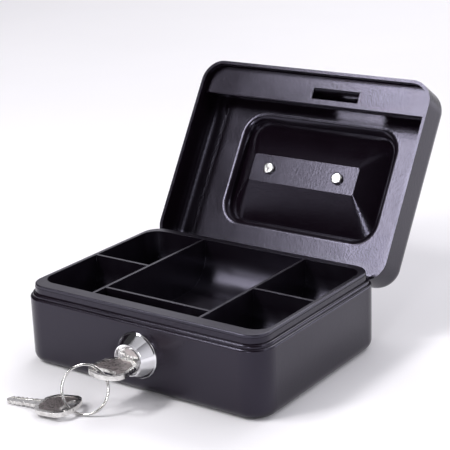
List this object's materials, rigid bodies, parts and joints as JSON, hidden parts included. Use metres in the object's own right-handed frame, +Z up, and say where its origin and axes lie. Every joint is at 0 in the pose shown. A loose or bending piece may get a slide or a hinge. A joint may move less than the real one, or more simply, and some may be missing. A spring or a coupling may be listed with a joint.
{
  "type": "cash box",
  "caption": "Small steel cash box with a hinged lid, lift-out coin tray, cam lock, folding carry handle and keys on a ring.",
  "frame": {"origin": "middle of the base's flat underside", "axes": "+X to the right seen from the lock side, +Y from the lock towards the hinges, +Z up"},
  "size_m": [0.152, 0.242, 0.1315],
  "materials": {
    "black_coat": "satin black powder coat with a fine orange-peel texture",
    "tray_plastic": "satin moulded black plastic",
    "chrome_trim": "polished chrome plate",
    "lock_metal": "bright nickel-plated die casting",
    "wafer_brass": "plain stamped brass",
    "zinc_steel": "zinc-plated steel",
    "key_nickel": "nickel-plated stamped steel",
    "bracket_plastic": "satin moulded black plastic",
    "screw_nickel": "bright nickel-plated steel"
  },
  "bodies": {
    "base": {"base_shell": "black_coat", "hinge_base_leaf_left": "black_coat", "hinge_base_leaf_right": "black_coat", "hinge_pin_left": "zinc_steel", "hinge_pin_right": "zinc_steel", "lock_escutcheon": "chrome_trim", "lock_housing": "lock_metal", "lock_washer": "zinc_steel", "lock_nut": "zinc_steel"},
    "tray": {"coin_tray": "tray_plastic"},
    "plug": {"lock_plug": "lock_metal", "lock_wafers": "wafer_brass", "wafer_springs": "zinc_steel", "lock_cam": "zinc_steel", "cam_washer": "zinc_steel", "cam_nut": "zinc_steel"},
    "key": {"key": "key_nickel"},
    "ring": {"key_ring": "key_nickel"},
    "spare": {"spare_key": "key_nickel"},
    "lid": {"lid_shell": "black_coat", "strike_plate": "black_coat", "hinge_lid_leaf_left": "black_coat", "hinge_lid_leaf_right": "black_coat", "handle_bracket_left": "bracket_plastic", "handle_bracket_right": "bracket_plastic", "handle_screws": "screw_nickel"},
    "handle": {"carry_handle": "chrome_trim"}
  },
  "joints": [
    {"name": "lid_hinge", "type": "hinge", "parent": "base", "child": "lid", "pos_m": [0, 0.05605, 0.0366], "axis": [-1, 0, 0], "range_deg": [-122, 0]},
    {"name": "tray_lift", "type": "slide", "parent": "base", "child": "tray", "axis": [0, 0, 1], "range_m": [0, 0.05]},
    {"name": "key_turn", "type": "hinge", "parent": "base", "child": "plug", "pos_m": [0.002, -0.055, 0.0205], "axis": [0, -1, 0], "range_deg": [0, 90]},
    {"name": "key_slide", "type": "slide", "parent": "plug", "child": "key", "axis": [0, -1, 0], "range_m": [0, 0.03]},
    {"name": "ring_hang", "type": "hinge", "parent": "key", "child": "ring", "pos_m": [0.002, -0.083, 0.0205], "axis": [0, -1, 0], "range_deg": [-90, 0]},
    {"name": "spare_swing", "type": "hinge", "parent": "ring", "child": "spare", "pos_m": [-0.01324, -0.09435, 0.0037], "axis": [0, 0, 1], "range_deg": [-10, 20]},
    {"name": "handle_fold", "type": "hinge", "parent": "lid", "child": "handle", "pos_m": [0, 0.10767, 0.07043], "axis": [-1, 0, 0], "range_deg": [-132, 16]}
  ],
  "couplings": [
    {"joint": "ring_hang", "follows": "key_turn", "ratio": -1}
  ]
}
